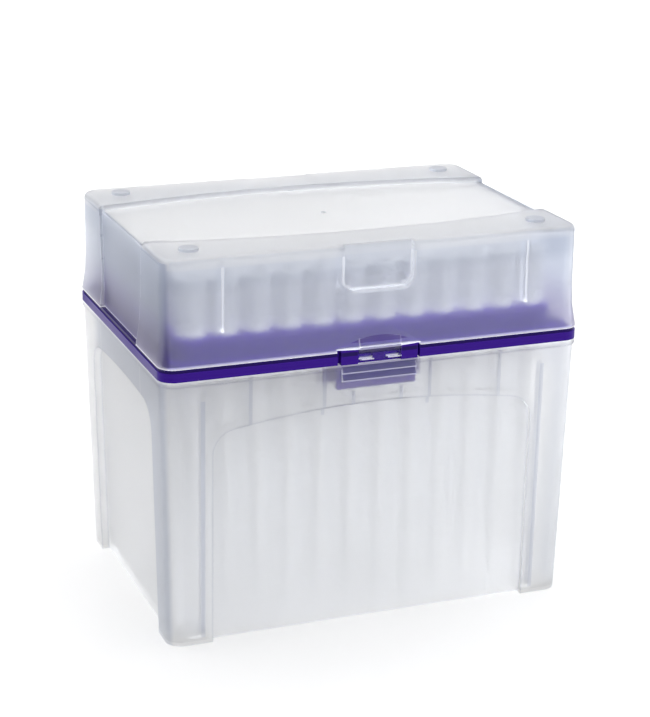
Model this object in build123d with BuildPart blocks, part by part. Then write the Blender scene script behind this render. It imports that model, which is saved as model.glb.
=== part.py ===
from build123d import *

import os
from math import atan2, degrees

# A hinged box that holds 96 pipette tips: base, tray, lid and tips.
# Millimetres. The box stands on its feet at z = 0, centred on its rim. +X runs along
# the long side, -Y is the front with the latch, and the lid turns about a line at the back.

# Rack
columns = 12
rows = 8
pitch = 9.0

# Rim: the widest outline, shared by the base's lip, the tray's band and the lid's bottom edge
rim_x = 122.0
rim_y = 86.2
rim_bottom = 76.8
rim_top = 80.25
corner_radius = 4.6

# Base
wall = 1.3
foot_x = 118.2
foot_y = 82.4
lip_height = 1.5
lip_step = 0.4
floor_top = 2.4
foot_height = 0.6
rib_thickness = 1.0

# Ribs inside the base's walls: places along the wall, bottom, top, how far they stand in
corner_ribs = ((-49.6, 49.6), 1.9, 70.7, 1.4)
rim_ribs = ((-36.4, -15.4, 15.4, 36.4), 62.5, 76.2, 1.2)
tab_ribs = ((-7.0, 7.0), 64.5, 68.9, 1.2)
end_ribs = ((-20.5, 20.5), 66.8, 76.2, 1.6)

# Thumb pad below the latch, two sloping steps
pad_half = 10.8
pad_top = 76.2
pad_root = 42.2
pad_step = 2.1
pad_fall = 1.6
pad_lip = 0.3
pad_reach = (43.7, 43.9)

# Arched recesses of the base's walls: half width, shoulder, crown, corner radius, depth
long_arch = (46.8, 60.8, 65.2, 7.0, 1.3)
short_arch = (30.3, 66.2, 67.6, 8.0, 2.2)

# Tray
shadow_step = 0.35
shadow_height = 1.05
bead_x = 115.8
bead_y = 82.6
bead_width = 1.1
bead_height = 0.8
channel_x = 115.4
channel_y = 79.6
channel_radius = 3.0
ledge_depth = 1.9
deck_x = 110.4
deck_y = 73.6
deck_top = 86.0
deck_wall = 1.6
deck_radius = 4.0
deck_edge = 0.6
deck_rib_depth = 2.6
hole_inradius = 3.2
tab_y = 40.35
tab_bottom = 69.3
tab_half = 11.5
tab_thickness = 1.3
leg_y = 36.2
leg_bottom = 70.2
leg_half = 14.5
leg_thickness = 1.2

# Lid
lid_wall = 1.2
lid_top = 109.4
lid_top_x = 119.8
lid_top_y = 84.0
flare = 1.1
flare_top = 92.25
edge_radius = 1.5
recess_depth = 1.6
recess_half_end = 20.3
recess_half_middle = 27.4
inset_bottom = (59.5, 18.5)
inset_top = (58.9, 21.7)
pocket_half = 10.0
pocket_bottom = 97.0
pocket_face = 40.2
pocket_radius = 3.0
lid_rib_x = 43.9
lid_rib_y = 40.2
lid_rib_depth = 2.6
lid_rib_bottom = 89.0
stud_x = 50.3
stud_y = 33.0
stud_radius = 2.65
stud_height = 0.8
gate_radius = 0.7
gate_height = 0.25

# Stacking sockets under the feet, with play round the studs
socket_play = 0.35
socket_depth = 1.1

# Latch
latch_half = 11.1
latch_front = 43.5
latch_depth = 1.9
latch_height = 4.1
slit_width = 0.9
tongue_channel = 42.6
notch_half = 12.2
notch_top = 81.0
lip_front = 44.4
lip_radius = 53.9
lip_lean = 0.41
lip_height_limit = 6.0
tongue_half = 6.0
tongue_thickness = 1.2
tongue_bottom = 77.9
tongue_root = 84.0
tooth_depth = 0.3
tooth_height = 0.6
tooth_play = 0.2
window_inner = 1.7
window_outer = 5.9
window_bottom = 0.4
window_height = 2.0

# Hinge
hinge_y = 44.0
hinge_z = 79.0
hinge_x = 38.0
barrel_length = 9.0
barrel_radius = 1.9
pin_radius = 1.0
pin_clearance = 0.05
hinge_notch = 43.2
ear_radius = 1.2
ear_thickness = 2.4
side_gap = 0.3
web_root = 42.2
web_top = 85.0
web_reach = 45.6
mouth_angle = -130
mouth_width = 1.6
heel_angle = -62
heel_reach = 2.15
heel_width = 1.2

# Tips: inradius of each six-sided section
tip_end = 5.0
tip_top = 102.0
tip_sides = 6
collar_inradius = 3.85
neck_inradius = 3.0
end_inradius = 0.62
bore_inradius = 2.7
bore_end_inradius = 0.3

# Overshoot of a cutter that passes right through a wall
clear = 10.0

os.makedirs("parts", exist_ok=True)

body_top = rim_bottom - lip_height
body_x = rim_x - 2 * lip_step
body_y = rim_y - 2 * lip_step
ear_middle = barrel_length / 2 + side_gap + ear_thickness / 2


def tapered_block(low, low_x, low_y, high, high_x, high_y, radius):
    # a round-cornered block between two levels, with straight tapered sides
    with BuildPart() as block:
        with BuildSketch(Plane.XY.offset(low)):
            RectangleRounded(low_x, low_y, radius)
        with BuildSketch(Plane.XY.offset(high)):
            RectangleRounded(high_x, high_y, radius)
        loft(ruled=True)
    return block.part


# ---- base ----


def wall_plane(side, inward):
    # the outer face of one base wall, moved inward; its local y runs up the wall
    if side in ("front", "back"):
        run = (body_y - foot_y) / 2
        reach = foot_y / 2
        outward = Vector(0, -1 if side == "front" else 1, 0)
    else:
        run = (body_x - foot_x) / 2
        reach = foot_x / 2
        outward = Vector(-1 if side == "left" else 1, 0, 0)
    up = (outward * run + Vector(0, 0, body_top)).normalized()
    along = Vector(0, 0, 1).cross(outward)
    return Plane(origin=outward * reach, x_dir=along, z_dir=along.cross(up)).offset(-inward)


def arch_recess(side, thickness):
    # what one wall's arched recess takes away; a thickness moves it on to the inner skin
    half, shoulder, crown, radius, depth = long_arch if side in ("front", "back") else short_arch
    half += thickness
    shoulder += thickness
    with BuildPart() as recess:
        with BuildSketch(wall_plane(side, depth + thickness)) as outline:
            with BuildLine():
                Polyline((half, shoulder), (half, -clear), (-half, -clear), (-half, shoulder))
                ThreePointArc((-half, shoulder), (0, crown + thickness), (half, shoulder))
            make_face()
            fillet(outline.vertices().group_by(Axis.Y)[-1], radius + thickness)
        extrude(amount=clear)
    return recess.part


def wall_ribs(side, places, low, high, depth):
    # ribs from the middle of a base wall to past its inner face
    with BuildPart() as ribs:
        with BuildSketch(wall_plane(side, wall / 2)):
            with Locations([(along, (low + high) / 2) for along in places]):
                Rectangle(rib_thickness, high - low)
        extrude(amount=-(wall / 2 + depth))
    return ribs.part


recesses = []
inner_recesses = []
for side in ("front", "back", "left", "right"):
    recesses.append(arch_recess(side, 0))
    inner_recesses.append(arch_recess(side, wall))

base_form = tapered_block(0, foot_x, foot_y, body_top, body_x, body_y, corner_radius)
cavity_form = tapered_block(
    floor_top, foot_x - 2 * wall, foot_y - 2 * wall,
    body_top, body_x - 2 * wall, body_y - 2 * wall, corner_radius - wall,
)

base_ribs = []
for side in ("front", "back"):
    base_ribs += [wall_ribs(side, *ribs) for ribs in (corner_ribs, rim_ribs, tab_ribs)]
for side in ("left", "right"):
    base_ribs.append(wall_ribs(side, *end_ribs))

with BuildPart() as base_cavity:
    add(cavity_form)
    with BuildSketch(Plane.XY.offset(body_top)):
        RectangleRounded(body_x - 2 * wall, body_y - 2 * wall, corner_radius - wall)
    extrude(amount=lip_height)
    add(inner_recesses, mode=Mode.SUBTRACT)

with BuildPart() as base:
    add(base_form)
    # lip that carries the tray's band
    with BuildSketch(Plane.XY.offset(body_top)):
        RectangleRounded(rim_x, rim_y, corner_radius)
    extrude(amount=lip_height)
    add(base_cavity.part, mode=Mode.SUBTRACT)
    # the underside is raised between the four feet
    with BuildSketch():
        Rectangle(2 * long_arch[0], foot_y + clear)
        Rectangle(foot_x + clear, 2 * short_arch[0])
    extrude(amount=foot_height, mode=Mode.SUBTRACT)
    # sockets in the feet take the studs of the lid below when boxes are stacked
    with BuildSketch():
        with GridLocations(2 * stud_x, 2 * stud_y, 2, 2):
            Circle(stud_radius + socket_play)
    extrude(amount=socket_depth, mode=Mode.SUBTRACT)
    add(base_ribs)
    add(recesses, mode=Mode.SUBTRACT)
    # thumb pad below the latch
    for step, reach in enumerate(pad_reach):
        step_top = pad_top - step * pad_step
        with BuildSketch(Plane.YZ):
            with BuildLine():
                Polyline(
                    (-pad_root, step_top), (-reach + 0.8, step_top), (-reach, step_top - pad_fall),
                    (-reach, step_top - pad_fall - pad_lip), (-pad_root, step_top - pad_step), close=True,
                )
            make_face()
        extrude(amount=pad_half, both=True)

base.part.label = "base"
export_step(base.part, "parts/base.step")


# ---- tray ----

hollow_x = deck_x - 2 * deck_wall
hollow_y = deck_y - 2 * deck_wall
tongue_back = lip_front - tongue_thickness
latch_middle = latch_front - latch_depth / 2

with BuildPart() as tray:
    # raised deck
    with BuildSketch(Plane.XY.offset(rim_bottom)):
        RectangleRounded(deck_x, deck_y, deck_radius)
    extrude(amount=deck_top - rim_bottom)
    chamfer(tray.edges().group_by(Axis.Z)[-1], deck_edge)
    # rim band, stepped in at its top to leave a shadow line below the lid
    with BuildSketch(Plane.XY.offset(rim_bottom)):
        RectangleRounded(rim_x, rim_y, corner_radius)
    extrude(amount=rim_top - rim_bottom - shadow_height)
    with BuildSketch(Plane.XY.offset(rim_top - shadow_height)):
        RectangleRounded(rim_x - 2 * shadow_step, rim_y - 2 * shadow_step, corner_radius - shadow_step)
    extrude(amount=shadow_height)
    # low bead that centres the lid
    with BuildSketch(Plane.XY.offset(rim_top)):
        RectangleRounded(bead_x, bead_y, corner_radius - bead_width)
        RectangleRounded(
            bead_x - 2 * bead_width, bead_y - 2 * bead_width, corner_radius - 2 * bead_width,
            mode=Mode.SUBTRACT,
        )
    extrude(amount=bead_height)
    # channel below the ledge, between the rim and the deck's walls
    with BuildSketch(Plane.XY.offset(rim_bottom)):
        RectangleRounded(channel_x, channel_y, channel_radius)
        RectangleRounded(deck_x, deck_y, deck_radius, mode=Mode.SUBTRACT)
    extrude(amount=ledge_depth, mode=Mode.SUBTRACT)
    # hollow below the deck
    with BuildSketch(Plane.XY.offset(rim_bottom)):
        RectangleRounded(hollow_x, hollow_y, deck_radius - deck_wall)
    extrude(amount=deck_top - deck_wall - rim_bottom, mode=Mode.SUBTRACT)
    # stiffening ribs between the holes, under the deck
    with BuildSketch(Plane.XY.offset(deck_top - deck_wall - deck_rib_depth)):
        with GridLocations(2 * pitch, 1, columns // 2 - 1, 1):
            Rectangle(rib_thickness, hollow_y + 1)
        with GridLocations(1, 2 * pitch, 1, rows // 2 - 1):
            Rectangle(hollow_x + 1, rib_thickness)
    extrude(amount=deck_rib_depth + 0.2)
    # one hole for each tip
    with BuildSketch(Plane.XY.offset(deck_top)):
        with GridLocations(pitch, pitch, columns, rows):
            RegularPolygon(hole_inradius, tip_sides, major_radius=False)
    extrude(amount=-deck_wall - 0.1, mode=Mode.SUBTRACT)
    # tabs that click behind the front and back walls of the base, and the legs that brace them
    with BuildSketch(Plane.XY.offset(tab_bottom)):
        with GridLocations(1, 2 * tab_y, 1, 2):
            Rectangle(2 * tab_half, tab_thickness)
    extrude(amount=rim_bottom + 1 - tab_bottom)
    with BuildSketch(Plane.XY.offset(leg_bottom)):
        with GridLocations(1, 2 * leg_y, 1, 2):
            Rectangle(2 * leg_half, leg_thickness)
    extrude(amount=rim_top - 1 - leg_bottom)
    # latch block in the front of the rim
    with BuildSketch(Plane.XY.offset(rim_bottom)):
        with Locations((0, latch_depth / 2 - latch_front)):
            Rectangle(2 * latch_half, latch_depth)
    extrude(amount=latch_height)
    # channel for the lid's tongue
    with BuildSketch(Plane.XY.offset(rim_bottom)):
        with Locations((0, -tongue_back)):
            Rectangle(2 * tongue_half + 0.6, 2 * (tongue_back - tongue_channel))
    extrude(amount=latch_height + 1, mode=Mode.SUBTRACT)
    # windows behind the tongue's teeth
    with BuildSketch(Plane.XY.offset(rim_bottom + window_bottom)):
        with Locations((0, -latch_middle)):
            with GridLocations(window_inner + window_outer, 1, 2, 1):
                Rectangle(window_outer - window_inner, latch_depth)
    extrude(amount=window_height, mode=Mode.SUBTRACT)
    # slits that free the latch block at both ends
    with BuildSketch(Plane.XY.offset(rim_bottom)):
        with Locations((0, -latch_middle)):
            with GridLocations(2 * latch_half + slit_width, 1, 2, 1):
                Rectangle(slit_width, latch_depth + 0.3)
    extrude(amount=latch_height + 1, mode=Mode.SUBTRACT)
    # notches for the lid's hinge barrels
    with BuildSketch(Plane.XY.offset(rim_bottom)):
        with Locations((0, hinge_notch)):
            with GridLocations(2 * hinge_x, 1, 2, 1):
                Rectangle(barrel_length + 2 * side_gap, 3.0)
    extrude(amount=rim_top - rim_bottom + 1, mode=Mode.SUBTRACT)
    # hinge pins, each held between two ears that stand off the rim
    for side in (-1, 1):
        with BuildSketch(Plane.YZ.offset(side * hinge_x)):
            with Locations((hinge_y, hinge_z)):
                Circle(pin_radius)
        extrude(amount=ear_middle, both=True)
        for end in (-1, 1):
            with BuildSketch(Plane.YZ.offset(side * hinge_x + end * ear_middle)):
                with Locations((hinge_y, hinge_z)):
                    Circle(ear_radius)
                with Locations((hinge_y - 1, hinge_z)):
                    Rectangle(2, 2 * ear_radius)
            extrude(amount=ear_thickness / 2, both=True)

tray.part.label = "tray"
export_step(tray.part, "parts/tray.step")


# ---- lid ----


def lid_outline(level, inward):
    # the lid's outline at a level, with its sides curling out towards the rim
    curl = (flare_top - level) / (flare_top - rim_top)
    grow = 2 * (flare * curl**2 - inward)
    with BuildSketch(Plane.XY.offset(level)) as outline:
        RectangleRounded(lid_top_x + grow, lid_top_y + grow, corner_radius - inward)
    return outline.sketch


def lid_form(inward, top):
    # the lid's outer form, or with inward set its inner skin, before the recesses
    outlines = [lid_outline(level, inward) for level in (rim_top, (rim_top + flare_top) / 2, flare_top)]
    with BuildPart() as form:
        loft(outlines, ruled=True)
        extrude(outlines[-1], amount=top - flare_top)
    return form.part


def top_recess(thickness):
    # what the centre panel takes away, between the curved edges of the two strips
    with BuildPart() as recess:
        with BuildSketch(Plane.XY.offset(lid_top - recess_depth - thickness)):
            with BuildLine():
                for side in (-1, 1):
                    ThreePointArc(
                        (-rim_x / 2, side * (recess_half_end + thickness)),
                        (0, side * (recess_half_middle + thickness)),
                        (rim_x / 2, side * (recess_half_end + thickness)),
                    )
                for end in (-rim_x / 2, rim_x / 2):
                    Line((end, -recess_half_end - thickness), (end, recess_half_end + thickness))
            make_face()
        extrude(amount=clear)
    return recess.part


def end_inset(end, thickness):
    # what sets the middle of a short end back, narrower at the bottom
    with BuildPart() as inset:
        for level, (setback, half) in ((rim_top - 1, inset_bottom), (lid_top + 1, inset_top)):
            with BuildSketch(Plane.XY.offset(level)):
                with Locations((end * (setback - thickness + clear / 2), 0)):
                    Rectangle(clear, 2 * (half + thickness))
        loft(ruled=True)
    return inset.part


def thumb_pocket(side, thickness):
    # what a long side's thumb pocket takes away, open at the top edge
    height = lid_top + clear - pocket_bottom + thickness
    with BuildPart() as pocket:
        with BuildSketch(Plane.XZ.offset(-side * (pocket_face - thickness))) as outline:
            with Locations((0, lid_top + clear - height / 2)):
                Rectangle(2 * (pocket_half + thickness), height)
            fillet(outline.vertices().group_by(Axis.Y)[0], pocket_radius + thickness)
        extrude(amount=-side * clear)
    return pocket.part


outer_form = lid_form(0, lid_top)
inner_form = lid_form(lid_wall, lid_top - lid_wall)

cuts = [top_recess(0)]
inner_cuts = [top_recess(lid_wall)]
for side in (-1, 1):
    cuts += [end_inset(side, 0), thumb_pocket(side, 0)]
    inner_cuts += [end_inset(side, lid_wall), thumb_pocket(side, lid_wall)]

with BuildPart() as lid_cavity:
    add(inner_form)
    add(inner_cuts, mode=Mode.SUBTRACT)

# lip over the latch: an oblique cylinder that grows out of the front wall
with BuildPart() as latch_lip:
    with BuildSketch(Plane.XY.offset(notch_top)):
        with Locations((0, lip_radius - lip_front)):
            Circle(lip_radius)
    extrude(amount=lip_height_limit, dir=(0, lip_lean, 1))
    with BuildSketch(Plane.XY.offset(notch_top)):
        with Locations((0, -lip_front)):
            Rectangle(2 * notch_half + 1.6, 5)
    extrude(amount=lip_height_limit, mode=Mode.INTERSECT)

# tongue that hangs from the lip, with two teeth on its inner face
with BuildPart() as tongue:
    with BuildSketch(Plane.XY.offset(tongue_bottom)) as tongue_section:
        with Locations((0, tongue_thickness / 2 - lip_front)):
            Rectangle(2 * tongue_half, tongue_thickness)
    extrude(amount=notch_top - tongue_bottom)
    with BuildSketch(Plane.XY.offset(notch_top)):
        add(tongue_section.sketch)
    extrude(amount=tongue_root - notch_top, dir=(0, lip_lean, 1))
    with BuildSketch(Plane.XY.offset(tongue_bottom + 0.1)):
        with Locations((0, -tongue_back)):
            with GridLocations(window_inner + window_outer, 1, 2, 1):
                Rectangle(window_outer - window_inner - 2 * tooth_play, 2 * tooth_depth)
    extrude(amount=tooth_height)

with BuildPart() as lid:
    add(outer_form)
    fillet(lid.edges().group_by(Axis.Z)[-1], edge_radius)
    add(cuts, mode=Mode.SUBTRACT)
    add(latch_lip.part)
    add(lid_cavity.part, mode=Mode.SUBTRACT)
    # notch above the latch block
    with BuildSketch(Plane.XY.offset(rim_top - 1)):
        with Locations((0, -42)):
            Rectangle(2 * notch_half, 6)
    extrude(amount=notch_top - rim_top + 1, mode=Mode.SUBTRACT)
    add(tongue.part)
    # ribs inside the long walls
    with BuildSketch(Plane.XY.offset(lid_rib_bottom)):
        with GridLocations(2 * lid_rib_x, 2 * lid_rib_y, 2, 2):
            Rectangle(rib_thickness, lid_rib_depth)
    extrude(amount=lid_top - lid_wall / 2 - lid_rib_bottom)
    # studs that key the next box of a stack
    with BuildSketch(Plane.XY.offset(lid_top - 0.5)):
        with GridLocations(2 * stud_x, 2 * stud_y, 2, 2):
            Circle(stud_radius)
    extrude(amount=stud_height + 0.5)
    # gate mark in the middle of the panel
    with BuildSketch(Plane.XY.offset(lid_top - recess_depth)):
        Circle(gate_radius)
    extrude(amount=gate_height)
    # hinge barrels, with the webs that carry them
    for side in (-1, 1):
        with BuildSketch(Plane.YZ.offset(side * hinge_x)):
            with Locations((hinge_y, hinge_z)):
                Circle(barrel_radius)
            with BuildLine():
                Polyline(
                    (web_root, hinge_z + 0.5), (web_root, web_top), (web_root + 0.7, web_top),
                    (web_reach - 0.3, hinge_z + barrel_radius + 0.1), (web_reach, hinge_z + 0.6),
                    close=True,
                )
            make_face()
            # stop heel, which meets the rim when the lid is fully open
            with Locations(Location((hinge_y, hinge_z), heel_angle)):
                Rectangle(heel_reach, heel_width, align=(Align.MIN, Align.CENTER))
            with Locations((hinge_y, hinge_z)):
                Circle(pin_radius + pin_clearance, mode=Mode.SUBTRACT)
            # mouth that lets the barrel snap over the pin
            with Locations(Location((hinge_y, hinge_z), mouth_angle)):
                Rectangle(3, mouth_width, align=(Align.MIN, Align.CENTER), mode=Mode.SUBTRACT)
        extrude(amount=barrel_length / 2, both=True)

lid.part.label = "lid"
export_step(lid.part, "parts/lid.step")


# ---- tips ----


def drafted_prism(sides, low, low_inradius, high, high_inradius):
    # a many-sided post that widens upwards, all its faces drafted from the bottom
    angle = degrees(atan2(high_inradius - low_inradius, high - low))
    with BuildPart() as post:
        with BuildSketch(Plane.XY.offset(low)):
            RegularPolygon(low_inradius, sides, major_radius=False)
        extrude(amount=high - low)
        draft(post.faces().filter_by(Axis.Z, reverse=True), Plane.XY.offset(low), -angle)
    return post.part


tip_shank = drafted_prism(tip_sides, tip_end, end_inradius, deck_top, neck_inradius)
tip_bore = drafted_prism(tip_sides, tip_end, bore_end_inradius, tip_top, bore_inradius)

with BuildPart() as tip:
    add(tip_shank)
    # collar that rests on the deck
    with BuildSketch(Plane.XY.offset(deck_top)):
        RegularPolygon(collar_inradius, tip_sides, major_radius=False)
    extrude(amount=tip_top - deck_top)
    add(tip_bore, mode=Mode.SUBTRACT)

for number in range(columns):
    with BuildPart() as tips_column:
        with Locations(((number - (columns - 1) / 2) * pitch, 0, 0)):
            with GridLocations(1, pitch, 1, rows):
                add(tip.part)
    name = f"tips_column_{number + 1:02d}"
    tips_column.part.label = name
    export_step(tips_column.part, f"parts/{name}.step")
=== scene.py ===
from math import cos, pi, radians, sin

import bmesh
import bpy
from mathutils import Matrix, Vector


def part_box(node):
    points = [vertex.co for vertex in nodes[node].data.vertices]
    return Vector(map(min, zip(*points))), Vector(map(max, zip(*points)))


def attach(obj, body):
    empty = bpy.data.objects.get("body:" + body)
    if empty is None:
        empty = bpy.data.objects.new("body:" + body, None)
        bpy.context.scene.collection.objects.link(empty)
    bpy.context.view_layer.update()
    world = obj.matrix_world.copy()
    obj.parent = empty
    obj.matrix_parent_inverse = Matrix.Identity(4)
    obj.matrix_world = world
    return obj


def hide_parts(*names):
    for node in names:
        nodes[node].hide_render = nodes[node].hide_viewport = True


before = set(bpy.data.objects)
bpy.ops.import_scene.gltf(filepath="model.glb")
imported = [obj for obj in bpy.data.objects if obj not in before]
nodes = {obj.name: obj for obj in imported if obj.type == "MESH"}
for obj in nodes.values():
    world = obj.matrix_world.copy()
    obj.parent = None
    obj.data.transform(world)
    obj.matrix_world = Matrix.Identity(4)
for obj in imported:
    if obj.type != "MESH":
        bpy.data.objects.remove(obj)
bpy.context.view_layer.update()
mm = 0.001
black = (0, 0, 0, 1)
white = (1, 1, 1, 1)


# a setting is a property of the node or, if it has none of that name, the value of an input
def addNode(tree, kind, **settings):
    node = tree.nodes.new(kind)
    for name, value in settings.items():
        if hasattr(node, name):
            setattr(node, name, value)
        else:
            node.inputs[name].default_value = value
    return node


# links another node's output, or sets a plain value
def feed(tree, target, source):
    if isinstance(source, bpy.types.NodeSocket):
        tree.links.new(source, target)
    else:
        target.default_value = source


def addMath(tree, operation, *sources, clamp=False):
    node = addNode(tree, "ShaderNodeMath", operation=operation, use_clamp=clamp)
    for target, source in zip(node.inputs, sources):
        feed(tree, target, source)
    return node.outputs["Value"]


def mixColour(tree, share, first, second):
    node = addNode(tree, "ShaderNodeMix", data_type="RGBA")
    for number, source in ((0, share), (6, first), (7, second)):
        feed(tree, node.inputs[number], source)
    return node.outputs[2]


def mixValue(tree, share, first, second):
    node = addNode(tree, "ShaderNodeMix", data_type="FLOAT")
    for number, source in ((0, share), (2, first), (3, second)):
        feed(tree, node.inputs[number], source)
    return node.outputs[0]


# goes from one level to the other while the value goes from one end to the other
def spread(tree, value, ends, levels=(0.0, 1.0)):
    node = addNode(tree, "ShaderNodeMapRange")
    names = ("Value", "From Min", "From Max", "To Min", "To Max")
    for name, source in zip(names, (value, *ends, *levels)):
        feed(tree, node.inputs[name], source)
    return node.outputs["Result"]


def objectAxes(tree):
    place = addNode(tree, "ShaderNodeTexCoord")
    split = addNode(tree, "ShaderNodeSeparateXYZ")
    tree.links.new(place.outputs["Object"], split.inputs["Vector"])
    return split.outputs["X"], split.outputs["Y"], split.outputs["Z"]


def newGroup(name, inputs, outputs):
    group = bpy.data.node_groups.new(name, "ShaderNodeTree")
    for label, value in inputs.items():
        socket = group.interface.new_socket(label, in_out="INPUT", socket_type="NodeSocketFloat")
        socket.default_value = value
    for label in outputs:
        group.interface.new_socket(label, in_out="OUTPUT", socket_type="NodeSocketFloat")
    return group, group.nodes.new("NodeGroupInput").outputs, group.nodes.new("NodeGroupOutput").inputs


def useGroup(tree, group, **values):
    node = tree.nodes.new("ShaderNodeGroup")
    node.node_tree = group
    for label, value in values.items():
        node.inputs[label].default_value = value
    return node.outputs


skinPattern = {
    "flowEnds": (0.3, 0.7),  # the part of the noise that the roughness follows
    "flowHeight": 0.35,
}


# fine moulded skin: a value for roughness and a height for bump
def buildMouldedSkin():
    group, given, result = newGroup(
        "mouldedSkin",
        {"Grain": 900.0, "Flow": 30.0, "Low": 0.3, "High": 0.4},
        ["Roughness", "Height"],
    )
    place = addNode(group, "ShaderNodeTexCoord")
    grain = addNode(group, "ShaderNodeTexNoise", Detail=0.0)
    flow = addNode(group, "ShaderNodeTexNoise", Detail=0.0)
    for label, noise in (("Grain", grain), ("Flow", flow)):
        feed(group, noise.inputs["Vector"], place.outputs["Object"])
        feed(group, noise.inputs["Scale"], given[label])
    slow, fine = flow.outputs["Fac"], grain.outputs["Fac"]
    roughness = spread(group, slow, skinPattern["flowEnds"], (given["Low"], given["High"]))
    height = addMath(group, "MULTIPLY_ADD", slow, skinPattern["flowHeight"], fine)
    feed(group, result["Roughness"], roughness)
    feed(group, result["Height"], height)
    return group


# mask that is bright along the edges of a moulding
def buildEdgeLight():
    group, given, result = newGroup("edgeLight", {"Gain": 3.0, "Radius": 0.5 * mm}, ["Mask"])
    rounded = addNode(group, "ShaderNodeBevel", samples=2)
    flat = addNode(group, "ShaderNodeNewGeometry")
    agree = addNode(group, "ShaderNodeVectorMath", operation="DOT_PRODUCT")
    feed(group, rounded.inputs["Radius"], given["Radius"])
    feed(group, agree.inputs[0], rounded.outputs["Normal"])
    feed(group, agree.inputs[1], flat.outputs["Normal"])
    turn = addMath(group, "SUBTRACT", 1.0, agree.outputs["Value"])
    feed(group, result["Mask"], addMath(group, "MULTIPLY", turn, given["Gain"], clamp=True))
    return group


# mask over one place on a moulding, and over its mirror image at the other side
def buildPlaceMark():
    group, given, result = newGroup(
        "placeMark",
        {"Place": 50 * mm, "Half": 0.5 * mm, "Along": 0.0, "Low": 0.0, "High": 100 * mm,
         "Before": 1.0, "Level": 1.0},
        ["Mask"],
    )
    x, y, z = objectAxes(group)
    across = addMath(group, "ABSOLUTE", mixValue(group, given["Along"], x, y))
    mask = addMath(group, "COMPARE", across, given["Place"], given["Half"])
    above = addMath(group, "GREATER_THAN", z, given["Low"])
    below = addMath(group, "LESS_THAN", z, given["High"])
    before = addMath(group, "LESS_THAN", y, given["Before"])
    for factor in (above, below, before, given["Level"]):
        mask = addMath(group, "MULTIPLY", mask, factor)
    feed(group, result["Mask"], mask)
    return group


mouldedSkin = buildMouldedSkin()
edgeLight = buildEdgeLight()
placeMark = buildPlaceMark()
print("shared shading groups built")


def newMaterial(name):
    material = bpy.data.materials.new(name)
    material.use_nodes = True
    tree = material.node_tree
    tree.nodes.clear()
    shader = tree.nodes.new("ShaderNodeBsdfPrincipled")
    output = tree.nodes.new("ShaderNodeOutputMaterial")
    tree.links.new(shader.outputs["BSDF"], output.inputs["Surface"])
    return material, tree, shader, output


# lamps reach what a clear moulding covers
def letLampsThrough(tree, shader, output, share):
    path = addNode(tree, "ShaderNodeLightPath")
    clear = addNode(tree, "ShaderNodeBsdfTransparent")
    mix = addNode(tree, "ShaderNodeMixShader")
    feed(tree, mix.inputs["Fac"], addMath(tree, "MULTIPLY", path.outputs["Is Shadow Ray"], share))
    feed(tree, mix.inputs[1], shader.outputs["BSDF"])
    feed(tree, mix.inputs[2], clear.outputs["BSDF"])
    feed(tree, output.inputs["Surface"], mix.outputs["Shader"])


# one mask over several places
def markPlaces(tree, marks):
    total = None
    for place, half, along, low, high, before, level in marks:
        mark = useGroup(
            tree, placeMark, Place=place * mm, Half=half * mm, Along=along,
            Low=low * mm, High=high * mm, Before=before * mm, Level=level,
        )["Mask"]
        total = addMath(tree, "MAXIMUM", total, mark) if total else mark
    return total


# A mark has seven numbers: place and half width across (from the middle, both sides alike), along
# (0 is X, 1 is Y), low, high, before (it ends at this Y) and level. Lengths are in mm, from 0 at the
# middle of the box and at the floor. In place of a limit, "whole" is past every side of the box.
whole = 90

frostedBase = {
    "name": "frostedBasePlastic",
    "body": (0.92, 0.925, 0.935, 1),
    # painted shade along the edges, in the edge colour
    "edge": (0.50, 0.53, 0.60, 1),
    "edgeHighlight": 0.0,
    "edgeGain": 3.0,
    "edgeWidth": 0.9 * mm,
    "transmission": 0.91,
    "ior": 1.38,
    "roughness": (0.35, 0.41),
    "grain": 1400.0,
    "flow": 25.0,
    "lampShare": 1.0,
    "tints": [
        # painted shade over the ribs inside the walls
        {"colour": (0.74, 0.76, 0.82, 1), "marks": [
            (49.6, 0.6, 0, 1.9, 70.7, whole, 1.0),
            (36.4, 0.5, 0, 62.5, 76.2, whole, 0.8),
            (15.4, 0.5, 0, 62.5, 76.2, whole, 0.8),
            (7.0, 0.5, 0, 64.5, 68.9, whole, 1.0),
            (20.5, 0.5, 1, 66.8, 76.2, whole, 0.7),
        ]},
        # painted shade on the thumb pad, in the dark purple of the tab behind it
        {"colour": (0.23, 0.24, 0.42, 1), "marks": [(0, 10.9, 0, 71.5, 76.2, -42.75, 0.9)]},
    ],
    # painted highlights: white glow along these lines
    "lines": [
        (0, whole, 0, 76.25, 76.8, whole, 0.16),  # the edge under the purple rim
        (0, 10.8, 0, 74.2, 74.65, -43.2, 0.3),  # the thumb pad's steps
        (0, 10.8, 0, 72.1, 72.55, -43.2, 0.3),
        (10.7, 0.15, 0, 72.55, 76.0, -43.0, 0.2),  # the thumb pad's sides
        (0, whole, 0, -1, 1.0, whole, 0.10),  # the bottom edge
    ],
    # painted shade: the ends are darker outside their arched recesses
    "endFoot": 59.1 * mm,
    "endSlope": 0.0199,
    "endDepth": (1.6 * mm, 0.6 * mm),
    "endShade": (0.63, 0.66, 0.74, 1),
    "endLowShade": (0.60, 0.63, 0.70, 1),
    "endLow": (60.0 * mm, 40.0 * mm),
    "endBack": (30.0 * mm, 22.0 * mm),
}

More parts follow.
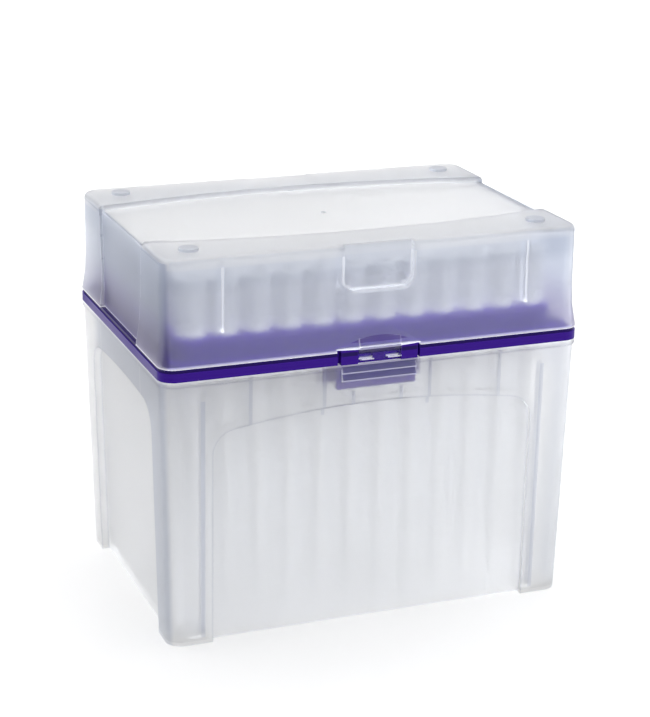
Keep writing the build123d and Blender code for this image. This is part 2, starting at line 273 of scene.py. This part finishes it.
frostedLid = {
    "name": "frostedLidPlastic",
    "body": (0.955, 0.97, 1.0, 1),
    # painted shade: the lid's walls are painted darker higher up, and the top from topFrom on is pale
    # again
    "upper": (99.5 * mm, 103.0 * mm),
    "upperShade": (0.79, 0.815, 0.865, 1),
    "topFrom": 106.5 * mm,
    "topBody": (0.955, 0.945, 0.925, 1),
    # painted shade along the edges, in the edge colour, with a painted highlight glow over them
    "edge": (0.75, 0.78, 0.84, 1),
    "edgeHighlight": 0.10,
    "edgeGain": 3.0,
    "edgeWidth": 0.5 * mm,
    "transmission": 0.945,
    "ior": 1.36,
    "roughness": (0.39, 0.44),
    "grain": 1400.0,
    "flow": 25.0,
    "lampShare": 1.0,
    "depthColour": (0.50, 0.54, 0.62, 1),
    "depthDensity": 90.0,
    # the centre panel is duller than the sides
    "panelLevel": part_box("lid")[1][2] - 2.4 * mm,
    "panelReach": 0.2 * mm,
    "panelRoughness": 0.75,
    "tints": [
        # painted purple shade on the upper half of the lip over the latch
        {"colour": (0.36, 0.24, 0.56, 1), "marks": [(0, 13, 0, 82.7, 87, -43.05, 0.9)]},
        # the studs and the gate mark
        {"colour": (0.66, 0.68, 0.73, 1), "marks": [(50.3, 2.8, 0, 109.45, 112, whole, 1.0)]},
        {"colour": (0.45, 0.45, 0.48, 1), "marks": [(0, 0.9, 0, 107.98, 108.1, whole, 1.0)]},
        # the strips along the top
        {"colour": (0.88, 0.88, 0.885, 1), "marks": [(0, whole, 0, 108.3, 109.45, whole, 1.0)]},
        # painted shade on the front wall and its thumb pocket, up to the rounded edge
        {"colour": (0.80, 0.825, 0.87, 1), "marks": [
            (0, 58.6, 0, 106.5, 109.0, -41.0, 0.85),
            (0, 10.2, 0, 106.5, 109.0, -38.5, 0.85),
        ]},
    ],
    # painted highlights: white glow along these lines
    "lines": [
        (43.9, 0.3, 0, 89.0, 106.5, whole, 0.2),  # the ribs inside, with their lower tips
        (43.9, 0.35, 0, 88.9, 89.6, whole, 0.5),
        (0, whole, 0, 80.2, 80.65, whole, 0.3),  # the bottom edge
        (0, 12.2, 0, 80.95, 81.25, -42, 0.25),  # the edge of the notch over the latch
        (10.3, 0.4, 0, 99.5, 106.5, whole, 0.14),  # the thumb pockets' outline
        (10.0, 0.4, 0, 98.7, 99.5, whole, 0.14),
        (9.4, 0.5, 0, 97.9, 98.7, whole, 0.14),
        (8.3, 0.8, 0, 97.2, 97.9, whole, 0.14),
        (0, 7.7, 0, 96.5, 97.3, whole, 0.14),
        (5.95, 0.12, 0, 81, 85, -43.05, 0.2),  # the tongue's sides
        (3.8, 1.75, 0, 78.0, 78.35, -42.8, 0.45),  # the tongue's teeth
        (19.0, 0.35, 1, 81.0, 87.5, whole, 0.1),  # the sides of the end insets, wider at the top
        (19.7, 0.35, 1, 87.5, 94.0, whole, 0.1),
        (20.4, 0.35, 1, 94.0, 100.5, whole, 0.1),
        (21.1, 0.35, 1, 100.5, 106.5, whole, 0.1),
    ],
    # the tongue is clear apart from its teeth, so that the purple shows behind it
    "tongue": [
        (0, 6.3, 0, 70, 78.0, -42.9, 0.9),
        (0, 6.3, 0, 78.35, 80.95, -42.9, 0.9),
        (0, 2.05, 0, 78.0, 78.35, -42.9, 0.9),
    ],
    # painted shade: the ends are darker in front, and painted purple low down
    "endFoot": 59.0 * mm,
    "endSlope": 0.0,
    "endDepth": (1.0 * mm, 0.1 * mm),
    "endShade": (0.53, 0.57, 0.66, 1),
    "endLowShade": (0.41, 0.38, 0.54, 1),
    "endLow": (95.0 * mm, 82.0 * mm),
    "endBack": (46.0 * mm, 18.0 * mm),
}


# colour of a moulding's walls, with painted shade on an end wall's raised parts
def wallColour(tree, look):
    x, y, z = objectAxes(tree)
    walls = look["body"]
    if "upperShade" in look:
        # painted shade higher up on the walls, with a pale top
        walls = mixColour(tree, spread(tree, z, look["upper"]), walls, look["upperShade"])
        walls = mixColour(tree, addMath(tree, "GREATER_THAN", z, look["topFrom"]), walls, look["topBody"])
    face = addMath(tree, "MULTIPLY_ADD", z, look["endSlope"], look["endFoot"])
    depth = addMath(tree, "SUBTRACT", face, addMath(tree, "ABSOLUTE", x))
    raised = spread(tree, depth, look["endDepth"])
    forward = spread(tree, y, look["endBack"])
    # painted shade on the ends, in another tone low down
    ends = mixColour(tree, spread(tree, z, look["endLow"]), look["endShade"], look["endLowShade"])
    return mixColour(tree, addMath(tree, "MULTIPLY", raised, forward), walls, ends)


def makeFrosted(look):
    material, tree, shader, output = newMaterial(look["name"])
    low, high = look["roughness"]
    skin = useGroup(tree, mouldedSkin, Grain=look["grain"], Flow=look["flow"], Low=low, High=high)
    edge = useGroup(tree, edgeLight, Gain=look["edgeGain"], Radius=look["edgeWidth"])
    # only edges of the skin that faces the eye
    side = addNode(tree, "ShaderNodeNewGeometry")
    outer = addMath(tree, "SUBTRACT", 1.0, side.outputs["Backfacing"])
    facing = addMath(tree, "MULTIPLY", edge["Mask"], outer)
    # painted shade along the edges, in the look's edge colour
    colour = mixColour(tree, facing, wallColour(tree, look), look["edge"])
    for tint in look["tints"]:
        colour = mixColour(tree, markPlaces(tree, tint["marks"]), colour, tint["colour"])
    # painted highlights: a glow along the edges, and white glow along the listed lines
    paintedHighlights = mixColour(tree, facing, black, (look["edgeHighlight"],) * 3 + (1,))
    paintedHighlights = mixColour(tree, markPlaces(tree, look["lines"]), paintedHighlights, white)
    roughness = skin["Roughness"]
    if "panelLevel" in look:
        onPanel = addMath(tree, "COMPARE", objectAxes(tree)[2], look["panelLevel"], look["panelReach"])
        roughness = mixValue(tree, onPanel, roughness, look["panelRoughness"])
    if "tongue" in look:
        cover = addMath(tree, "SUBTRACT", 1.0, markPlaces(tree, look["tongue"]))
        feed(tree, shader.inputs["Alpha"], cover)
    feed(tree, shader.inputs["Base Color"], colour)
    feed(tree, shader.inputs["Emission Color"], paintedHighlights)
    feed(tree, shader.inputs["Roughness"], roughness)
    shader.inputs["Emission Strength"].default_value = 1.0
    shader.inputs["Transmission Weight"].default_value = look["transmission"]
    shader.inputs["IOR"].default_value = look["ior"]
    letLampsThrough(tree, shader, output, look["lampShare"])
    # thick places look darker
    if "depthDensity" in look:
        depth = addNode(
            tree, "ShaderNodeVolumeAbsorption", Color=look["depthColour"], Density=look["depthDensity"])
        feed(tree, output.inputs["Volume"], depth.outputs["Volume"])
    return material


purple = {
    "name": "purplePolypropylene",
    "body": (0.030, 0.002, 0.21, 1),
    # painted light: the thin deck is painted brighter than the thick rim
    "deck": (0.044, 0.005, 0.34, 1),
    "deckHalf": (58.9 * mm, 41.9 * mm),
    # the step at the rim's top, in the lid's shade
    "gap": (0.010, 0.001, 0.08, 1),
    "gapMark": (0, whole, 0, 79.2, 80.3, whole, 1.0),
    # painted highlight along the edges of the rim
    "edge": (0.05, 0.016, 0.27, 1),
    "edgeGain": 2.0,
    "edgeWidth": 0.5 * mm,
    "roughness": (0.3, 0.42),
    "grain": 1200.0,
    "flow": 40.0,
    "bump": 0.06,
    "bumpDepth": 0.05 * mm,
    "specular": 0.12,
    "lampShare": 0.5,
}


def makePurple(look):
    material, tree, shader, output = newMaterial(look["name"])
    low, high = look["roughness"]
    skin = useGroup(tree, mouldedSkin, Grain=look["grain"], Flow=look["flow"], Low=low, High=high)
    edge = useGroup(tree, edgeLight, Gain=look["edgeGain"], Radius=look["edgeWidth"])
    x, y, z = objectAxes(tree)
    halfLength, halfWidth = look["deckHalf"]
    inLength = addMath(tree, "COMPARE", x, 0.0, halfLength)
    inWidth = addMath(tree, "COMPARE", y, 0.0, halfWidth)
    colour = mixColour(tree, markPlaces(tree, [look["gapMark"]]), look["body"], look["gap"])
    # painted light: the deck is lighter than the rim
    colour = mixColour(tree, addMath(tree, "MULTIPLY", inLength, inWidth), colour, look["deck"])
    # painted highlight along the edges
    feed(tree, shader.inputs["Base Color"], mixColour(tree, edge["Mask"], colour, look["edge"]))
    feed(tree, shader.inputs["Roughness"], skin["Roughness"])
    bump = addNode(tree, "ShaderNodeBump", Strength=look["bump"], Distance=look["bumpDepth"])
    feed(tree, bump.inputs["Height"], skin["Height"])
    feed(tree, shader.inputs["Normal"], bump.outputs["Normal"])
    shader.inputs["Specular IOR Level"].default_value = look["specular"]
    letLampsThrough(tree, shader, output, look["lampShare"])
    return material


clearTip = {
    "name": "clearPolypropylene",
    "shank": (0.985, 0.99, 1.0, 1),
    # painted shade: with its thin ribs the collar is painted greyer than the shank and the rim
    "collar": (0.80, 0.81, 0.84, 1),
    "collarStart": (87.3 * mm, 88.3 * mm),
    "collarEnd": (101.6 * mm, 101.0 * mm),
    "transmission": 0.35,
    "ior": 1.35,
    "roughness": (0.3, 0.4),
    "grain": 700.0,
    "flow": 60.0,
    "lampShare": 1.0,
}


def makeTipPlastic(look):
    material, tree, shader, output = newMaterial(look["name"])
    low, high = look["roughness"]
    skin = useGroup(tree, mouldedSkin, Grain=look["grain"], Flow=look["flow"], Low=low, High=high)
    z = objectAxes(tree)[2]
    start = spread(tree, z, look["collarStart"])
    end = spread(tree, z, look["collarEnd"])
    # painted shade on the collars
    colour = mixColour(tree, addMath(tree, "MULTIPLY", start, end), look["shank"], look["collar"])
    feed(tree, shader.inputs["Base Color"], colour)
    feed(tree, shader.inputs["Roughness"], skin["Roughness"])
    shader.inputs["Transmission Weight"].default_value = look["transmission"]
    shader.inputs["IOR"].default_value = look["ior"]
    letLampsThrough(tree, shader, output, look["lampShare"])
    return material


def finishNode(name, material):
    mesh = nodes[name].data
    mesh.materials.clear()
    mesh.materials.append(material)


finishNode("base", makeFrosted(frostedBase))
finishNode("lid", makeFrosted(frostedLid))
finishNode("tray", makePurple(purple))
tipPlastic = makeTipPlastic(clearTip)
print("mouldings finished")


tipShape = {
    "columns": 12,
    "rows": 8,
    "pitch": 9.0 * mm,
    "sides": 20,
    "sharpFrom": radians(35),
    # radius and height in mm of the wall, from the bore's lower end round the outside to its top
    "profile": [
        (0.30, 5.0), (0.60, 5.0), (0.72, 6.4), (1.10, 20.0), (2.98, 84.6), (3.05, 86.0),
        (4.10, 86.0), (4.38, 86.4), (4.40, 87.3), (4.15, 87.9), (4.15, 98.4), (4.38, 98.8),
        (4.40, 99.3), (4.40, 101.5), (4.20, 102.0), (3.50, 102.0), (3.20, 101.2), (2.72, 92.0),
    ],
    # ribs round the collar, between its two bands
    "ribs": 8,
    "ribTurn": 0.5,  # of a step, so that no rib points along the row
    "ribPlace": (4.2 * mm, 0, 92.75 * mm),
    "ribSize": (0.40 * mm, 0.5 * mm, 11.5 * mm, 1),
    "weld": 0.001 * mm,
}


def buildTip():
    shape = bmesh.new()
    ring = [shape.verts.new((radius * mm, 0, height * mm)) for radius, height in tipShape["profile"]]
    lines = [shape.edges.new((ring[i], ring[(i + 1) % len(ring)])) for i in range(len(ring))]
    bmesh.ops.spin(
        shape, geom=ring + lines, cent=(0, 0, 0), axis=(0, 0, 1), dvec=(0, 0, 0),
        angle=2 * pi, steps=tipShape["sides"], use_merge=True,
    )
    bmesh.ops.remove_doubles(shape, verts=shape.verts, dist=tipShape["weld"])
    bmesh.ops.recalc_face_normals(shape, faces=shape.faces)
    away = Matrix.Translation(tipShape["ribPlace"]) @ Matrix.Diagonal(tipShape["ribSize"])
    for number in range(tipShape["ribs"]):
        turn = 2 * pi * (number + tipShape["ribTurn"]) / tipShape["ribs"]
        bmesh.ops.create_cube(shape, size=1, matrix=Matrix.Rotation(turn, 4, "Z") @ away)
    mesh = bpy.data.meshes.new("tip")
    shape.to_mesh(mesh)
    shape.free()
    return mesh


# how far along its row the tip stands, with the row's middle at 0
def tipPlace(number, count):
    return (number - (count - 1) / 2) * tipShape["pitch"]


def buildTipColumn(column, tipMesh):
    shape = bmesh.new()
    for row in range(tipShape["rows"]):
        have = len(shape.verts)
        shape.from_mesh(tipMesh)
        shape.verts.ensure_lookup_table()
        place = (tipPlace(column, tipShape["columns"]), tipPlace(row, tipShape["rows"]), 0)
        bmesh.ops.translate(shape, verts=shape.verts[have:], vec=place)
    mesh = bpy.data.meshes.new(f"tips_{column + 1:02d}")
    shape.to_mesh(mesh)
    shape.free()
    for face in mesh.polygons:
        face.use_smooth = True
    mesh.set_sharp_from_angle(angle=tipShape["sharpFrom"])
    mesh.materials.append(tipPlastic)
    piece = bpy.data.objects.new(mesh.name, mesh)
    bpy.context.scene.collection.objects.link(piece)
    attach(piece, "box")
    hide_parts(f"tips_column_{column + 1:02d}")


tipMesh = buildTip()
for column in range(tipShape["columns"]):
    buildTipColumn(column, tipMesh)
bpy.data.meshes.remove(tipMesh)
print("tips made")


# 1 for what is seen by the camera, in a reflection or through a clear piece
def seenShare(tree):
    path = addNode(tree, "ShaderNodeLightPath").outputs
    share = addMath(tree, "ADD", path["Is Camera Ray"], path["Is Glossy Ray"], clamp=True)
    return addMath(tree, "ADD", share, path["Is Transmission Ray"], clamp=True)


floorLook = {
    "size": 6.0,
    "colour": (0.84, 0.84, 0.84, 1),
    "roughness": 0.22,
    # away from the box the floor is seen white, as the background is
    "lift": 0.24,
    "liftEnds": (0.14, 0.45),
}


def buildFloor():
    shape = bmesh.new()
    bmesh.ops.create_grid(shape, x_segments=1, y_segments=1, size=floorLook["size"] / 2)
    mesh = bpy.data.meshes.new("floor")
    shape.to_mesh(mesh)
    shape.free()
    material, tree, shader, output = newMaterial("paleFloor")
    shader.inputs["Base Color"].default_value = floorLook["colour"]
    shader.inputs["Roughness"].default_value = floorLook["roughness"]
    shader.inputs["Emission Color"].default_value = white
    place = addNode(tree, "ShaderNodeTexCoord")
    distance = addNode(tree, "ShaderNodeVectorMath", operation="LENGTH")
    feed(tree, distance.inputs[0], place.outputs["Object"])
    away = spread(tree, distance.outputs["Value"], floorLook["liftEnds"], (0.0, floorLook["lift"]))
    feed(tree, shader.inputs["Emission Strength"], addMath(tree, "MULTIPLY", seenShare(tree), away))
    mesh.materials.append(material)
    floor = bpy.data.objects.new("floor", mesh)
    bpy.context.scene.collection.objects.link(floor)


studio = {"light": 0.92, "seen": 1.0}


# the world lights plainly, and is seen white
def buildWorld():
    world = bpy.data.worlds.new("studio")
    bpy.context.scene.world = world
    world.use_nodes = True
    tree = world.node_tree
    tree.nodes.clear()
    back = addNode(tree, "ShaderNodeBackground", Color=white)
    output = addNode(tree, "ShaderNodeOutputWorld")
    level = spread(tree, seenShare(tree), (0.0, 1.0), (studio["light"], studio["seen"]))
    feed(tree, back.inputs["Strength"], level)
    feed(tree, output.inputs["Surface"], back.outputs["Background"])


lampAim = (0, 0, 0.05)
lamps = {
    "above": {"place": (0.1, 0.15, 0.9), "size": 0.8, "power": 4.2},
    "right": {"place": (0.8, -0.6, 0.5), "size": 0.5, "power": 1.8},
    "behind": {"place": (0.85, 0.6, 0.2), "size": 0.5, "power": 2.3},
}


def buildLamp(name, place, size, power):
    light = bpy.data.lights.new(name, "AREA")
    light.shape = "SQUARE"
    light.size = size
    light.energy = power
    lamp = bpy.data.objects.new(name, light)
    aim = Vector(lampAim) - Vector(place)
    lamp.matrix_world = Matrix.Translation(place) @ aim.to_track_quat("-Z", "Y").to_matrix().to_4x4()
    bpy.context.scene.collection.objects.link(lamp)


# turn is round the box and rise is above the floor, both in degrees
view = {
    "place": (-0.19701, -0.51049, 0.24421),
    "turn": -21.205,
    "rise": 18.217,
    "roll": 0.724,
    "lens": 99.39,
    "sensor": 36,
    "near": 0.01,
    "far": 20,
}


def buildCamera():
    lens = bpy.data.cameras.new("camera")
    lens.lens = view["lens"]
    lens.sensor_width = view["sensor"]
    lens.clip_start = view["near"]
    lens.clip_end = view["far"]
    turn, rise, roll = radians(view["turn"]), radians(view["rise"]), radians(view["roll"])
    back = Vector((sin(turn) * cos(rise), -cos(turn) * cos(rise), sin(rise)))
    right = (-back).cross(Vector((0, 0, 1))).normalized()
    up = right.cross(-back)
    across = cos(roll) * right + sin(roll) * up
    upward = cos(roll) * up - sin(roll) * right
    turned = Matrix((across, upward, back)).transposed().to_4x4()
    camera = bpy.data.objects.new("camera", lens)
    camera.matrix_world = Matrix.Translation(view["place"]) @ turned
    bpy.context.scene.collection.objects.link(camera)
    bpy.context.scene.camera = camera


# light has to cross many thin walls inside the box
bounces = {"most": 24, "clear": 24, "diffuse": 8, "transparent": 24}

buildFloor()
buildWorld()
for name, settings in lamps.items():
    buildLamp(name, **settings)
buildCamera()
bpy.context.scene.view_settings.view_transform = "Standard"
paths = bpy.context.scene.cycles
paths.max_bounces = bounces["most"]
paths.transmission_bounces = bounces["clear"]
paths.diffuse_bounces = bounces["diffuse"]
paths.transparent_max_bounces = bounces["transparent"]
print("stage set")
